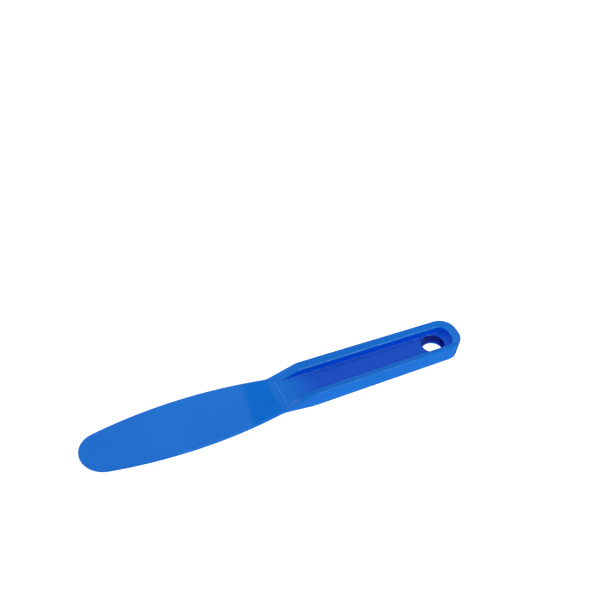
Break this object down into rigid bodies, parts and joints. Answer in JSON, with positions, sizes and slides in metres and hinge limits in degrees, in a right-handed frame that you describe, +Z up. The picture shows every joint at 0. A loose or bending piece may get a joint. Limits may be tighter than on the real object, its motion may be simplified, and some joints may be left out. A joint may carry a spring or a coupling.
{
  "type": "flexible plastic spatula",
  "caption": "One-piece flexible plastic spatula: stiff channelled handle with a hang hole, running into a thin round-tipped blade that bends both ways.",
  "frame": {"origin": "on the centre line, half way along the tool, in the plane of the handle's flat underside", "axes": "+X from the tail of the handle to the tip of the blade, +Z up out of the channel side, +Y across the tool"},
  "size_m": [0.2, 0.0318, 0.0102],
  "materials": {
    "blue_plastic": "glossy, as moulded"
  },
  "bodies": {
    "handle": {"handle": "blue_plastic"},
    "blade_link_01": {"blade_link_01": "blue_plastic"},
    "blade_link_02": {"blade_link_02": "blue_plastic"},
    "blade_link_03": {"blade_link_03": "blue_plastic"},
    "blade_link_04": {"blade_link_04": "blue_plastic"},
    "blade_link_05": {"blade_link_05": "blue_plastic"},
    "blade_link_06": {"blade_link_06": "blue_plastic"},
    "blade_link_07": {"blade_link_07": "blue_plastic"},
    "blade_link_08": {"blade_link_08": "blue_plastic"},
    "blade_link_09": {"blade_link_09": "blue_plastic"},
    "blade_link_10": {"blade_link_10": "blue_plastic"},
    "blade_link_11": {"blade_link_11": "blue_plastic"},
    "blade_link_12": {"blade_link_12": "blue_plastic"},
    "blade_link_13": {"blade_link_13": "blue_plastic"},
    "blade_link_14": {"blade_link_14": "blue_plastic"},
    "blade_link_15": {"blade_link_15": "blue_plastic"},
    "blade_link_16": {"blade_link_16": "blue_plastic"},
    "blade_link_17": {"blade_link_17": "blue_plastic"},
    "blade_link_18": {"blade_link_18": "blue_plastic"},
    "blade_link_19": {"blade_link_19": "blue_plastic"},
    "blade_tip": {"blade_tip": "blue_plastic"}
  },
  "joints": [
    {"name": "blade_bend_01", "type": "hinge", "parent": "handle", "child": "blade_link_01", "pos_m": [0.003, 0, 0.0044], "axis": [0, -1, 0], "range_deg": [-3, 3], "stiffness_Nm_per_rad": 0.609},
    {"name": "blade_bend_02", "type": "hinge", "parent": "blade_link_01", "child": "blade_link_02", "pos_m": [0.00728, 0, 0.0044], "axis": [0, -1, 0], "range_deg": [-3, 3], "stiffness_Nm_per_rad": 0.677},
    {"name": "blade_bend_03", "type": "hinge", "parent": "blade_link_02", "child": "blade_link_03", "pos_m": [0.01049, 0, 0.0044], "axis": [0, -1, 0], "range_deg": [-3, 3], "stiffness_Nm_per_rad": 0.857},
    {"name": "blade_bend_04", "type": "hinge", "parent": "blade_link_03", "child": "blade_link_04", "pos_m": [0.01317, 0, 0.0044], "axis": [0, -1, 0], "range_deg": [-3, 3], "stiffness_Nm_per_rad": 0.984},
    {"name": "blade_bend_05", "type": "hinge", "parent": "blade_link_04", "child": "blade_link_05", "pos_m": [0.01559, 0, 0.0044], "axis": [0, -1, 0], "range_deg": [-3, 3], "stiffness_Nm_per_rad": 1.053},
    {"name": "blade_bend_06", "type": "hinge", "parent": "blade_link_05", "child": "blade_link_06", "pos_m": [0.0179, 0, 0.0044], "axis": [0, -1, 0], "range_deg": [-3, 3], "stiffness_Nm_per_rad": 1.067},
    {"name": "blade_bend_07", "type": "hinge", "parent": "blade_link_06", "child": "blade_link_07", "pos_m": [0.0202, 0, 0.0044], "axis": [0, -1, 0], "range_deg": [-3, 3], "stiffness_Nm_per_rad": 1.032},
    {"name": "blade_bend_08", "type": "hinge", "parent": "blade_link_07", "child": "blade_link_08", "pos_m": [0.02259, 0, 0.0044], "axis": [0, -1, 0], "range_deg": [-3, 3], "stiffness_Nm_per_rad": 0.951},
    {"name": "blade_bend_09", "type": "hinge", "parent": "blade_link_08", "child": "blade_link_09", "pos_m": [0.0252, 0, 0.0044], "axis": [0, -1, 0], "range_deg": [-3, 3], "stiffness_Nm_per_rad": 0.833},
    {"name": "blade_bend_10", "type": "hinge", "parent": "blade_link_09", "child": "blade_link_10", "pos_m": [0.02819, 0, 0.0044], "axis": [0, -1, 0], "range_deg": [-3, 3], "stiffness_Nm_per_rad": 0.687},
    {"name": "blade_bend_11", "type": "hinge", "parent": "blade_link_10", "child": "blade_link_11", "pos_m": [0.03181, 0, 0.0044], "axis": [0, -1, 0], "range_deg": [-3, 3], "stiffness_Nm_per_rad": 0.531},
    {"name": "blade_bend_12", "type": "hinge", "parent": "blade_link_11", "child": "blade_link_12", "pos_m": [0.03641, 0, 0.0044], "axis": [0, -1, 0], "range_deg": [-3, 3], "stiffness_Nm_per_rad": 0.394},
    {"name": "blade_bend_13", "type": "hinge", "parent": "blade_link_12", "child": "blade_link_13", "pos_m": [0.04228, 0, 0.0044], "axis": [0, -1, 0], "range_deg": [-3, 3], "stiffness_Nm_per_rad": 0.299},
    {"name": "blade_bend_14", "type": "hinge", "parent": "blade_link_13", "child": "blade_link_14", "pos_m": [0.0491, 0, 0.0044], "axis": [0, -1, 0], "range_deg": [-3, 3], "stiffness_Nm_per_rad": 0.245},
    {"name": "blade_bend_15", "type": "hinge", "parent": "blade_link_14", "child": "blade_link_15", "pos_m": [0.05617, 0, 0.0044], "axis": [0, -1, 0], "range_deg": [-3, 3], "stiffness_Nm_per_rad": 0.21},
    {"name": "blade_bend_16", "type": "hinge", "parent": "blade_link_15", "child": "blade_link_16", "pos_m": [0.06327, 0, 0.0044], "axis": [0, -1, 0], "range_deg": [-3, 3], "stiffness_Nm_per_rad": 0.179},
    {"name": "blade_bend_17", "type": "hinge", "parent": "blade_link_16", "child": "blade_link_17", "pos_m": [0.07037, 0, 0.0044], "axis": [0, -1, 0], "range_deg": [-3, 3], "stiffness_Nm_per_rad": 0.151},
    {"name": "blade_bend_18", "type": "hinge", "parent": "blade_link_17", "child": "blade_link_18", "pos_m": [0.07747, 0, 0.0044], "axis": [0, -1, 0], "range_deg": [-3, 3], "stiffness_Nm_per_rad": 0.124},
    {"name": "blade_bend_19", "type": "hinge", "parent": "blade_link_18", "child": "blade_link_19", "pos_m": [0.08457, 0, 0.0044], "axis": [0, -1, 0], "range_deg": [-3, 3], "stiffness_Nm_per_rad": 0.099},
    {"name": "blade_bend_20", "type": "hinge", "parent": "blade_link_19", "child": "blade_tip", "pos_m": [0.09167, 0, 0.0044], "axis": [0, -1, 0], "range_deg": [-3, 3], "stiffness_Nm_per_rad": 0.075}
  ],
  "couplings": [
    {"joint": "blade_bend_02", "follows": "blade_bend_01", "ratio": 1},
    {"joint": "blade_bend_03", "follows": "blade_bend_01", "ratio": 1},
    {"joint": "blade_bend_04", "follows": "blade_bend_01", "ratio": 1},
    {"joint": "blade_bend_05", "follows": "blade_bend_01", "ratio": 1},
    {"joint": "blade_bend_06", "follows": "blade_bend_01", "ratio": 1},
    {"joint": "blade_bend_07", "follows": "blade_bend_01", "ratio": 1},
    {"joint": "blade_bend_08", "follows": "blade_bend_01", "ratio": 1},
    {"joint": "blade_bend_09", "follows": "blade_bend_01", "ratio": 1},
    {"joint": "blade_bend_10", "follows": "blade_bend_01", "ratio": 1},
    {"joint": "blade_bend_11", "follows": "blade_bend_01", "ratio": 1},
    {"joint": "blade_bend_12", "follows": "blade_bend_01", "ratio": 1},
    {"joint": "blade_bend_13", "follows": "blade_bend_01", "ratio": 1},
    {"joint": "blade_bend_14", "follows": "blade_bend_01", "ratio": 1},
    {"joint": "blade_bend_15", "follows": "blade_bend_01", "ratio": 1},
    {"joint": "blade_bend_16", "follows": "blade_bend_01", "ratio": 1},
    {"joint": "blade_bend_17", "follows": "blade_bend_01", "ratio": 1},
    {"joint": "blade_bend_18", "follows": "blade_bend_01", "ratio": 1},
    {"joint": "blade_bend_19", "follows": "blade_bend_01", "ratio": 1},
    {"joint": "blade_bend_20", "follows": "blade_bend_01", "ratio": 1}
  ]
}
